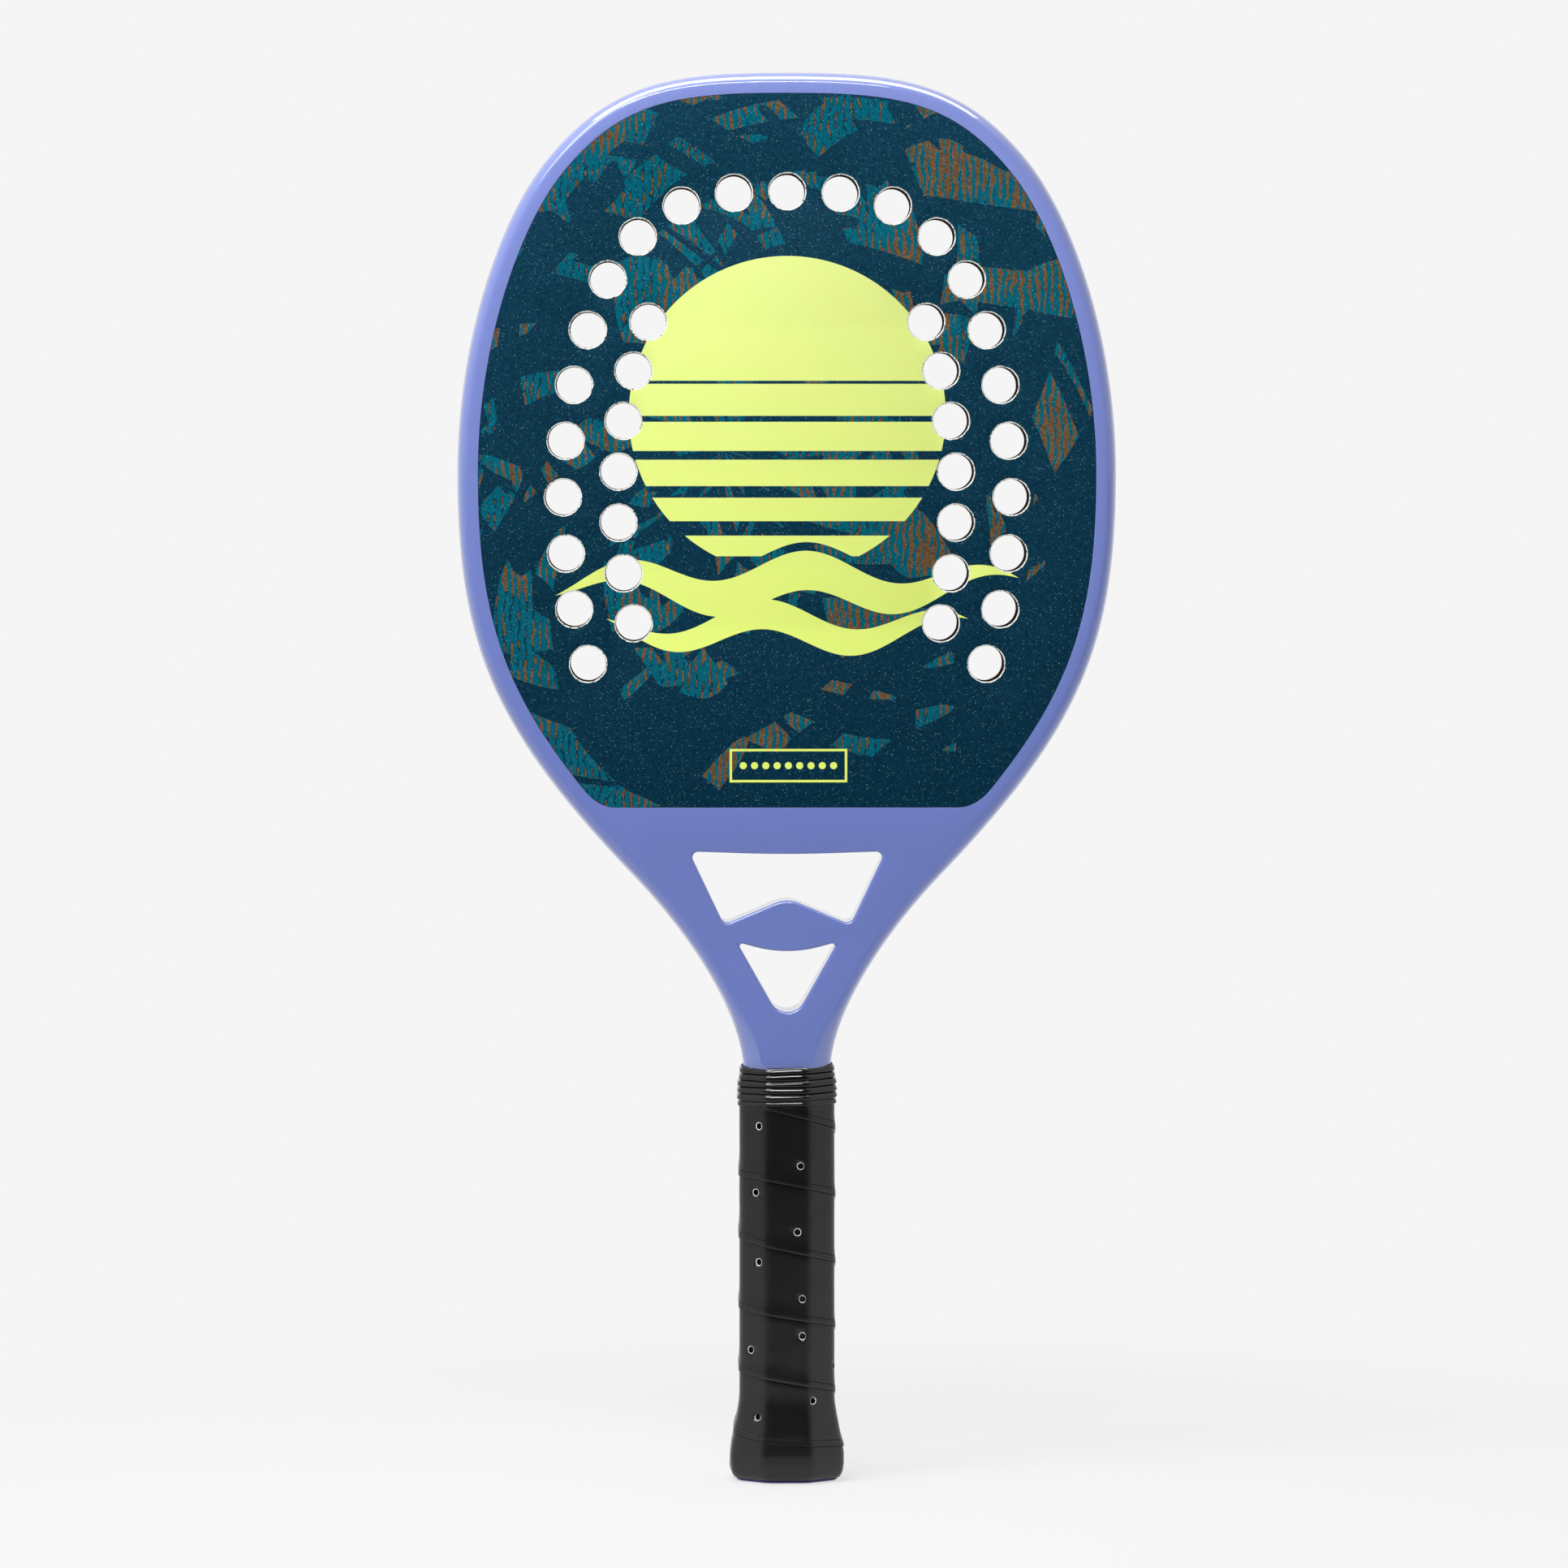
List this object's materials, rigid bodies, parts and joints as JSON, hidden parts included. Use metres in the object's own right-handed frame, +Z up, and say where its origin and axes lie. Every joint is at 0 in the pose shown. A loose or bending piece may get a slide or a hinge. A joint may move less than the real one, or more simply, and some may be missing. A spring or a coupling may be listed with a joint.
{
  "type": "beach tennis racket",
  "caption": "Solid-faced beach tennis racket: foam-cored head with drilled holes, tubular frame with an open throat, octagonal wrapped handle with a collar and a flared butt.",
  "frame": {"origin": "middle of the butt's sole, at the racket's lowest point when it stands upright", "axes": "+Z up the racket's length from butt to crown, +X to the right seen from the front, -Y is the way the front face looks"},
  "size_m": [0.2338, 0.0368, 0.5],
  "materials": {
    "painted_frame": "glossy lilac-blue lacquer on a composite tube",
    "core_foam": "dark closed-cell foam, rough where it is drilled",
    "printed_face": "navy print with fine white grit under satin varnish",
    "cap_plastic": "moulded violet plastic",
    "staple_steel": "plated staple wire",
    "white_tape": "double-sided cloth tape",
    "grip_tape": "smooth black cushion tape with punched holes",
    "collar_rubber": "ribbed black rubber"
  },
  "bodies": {
    "root": {"frame_tube": "painted_frame", "head_bridge": "painted_frame", "throat_yoke": "painted_frame", "foam_core": "core_foam", "front_face": "printed_face", "rear_face": "printed_face", "left_leg_plug": "core_foam", "right_leg_plug": "core_foam", "butt_cap": "cap_plastic", "cap_staple_left": "staple_steel", "cap_staple_right": "staple_steel", "handle_tape": "white_tape", "grip_wrap": "grip_tape", "finishing_tape": "grip_tape", "grip_collar": "collar_rubber"}
  },
  "joints": []
}
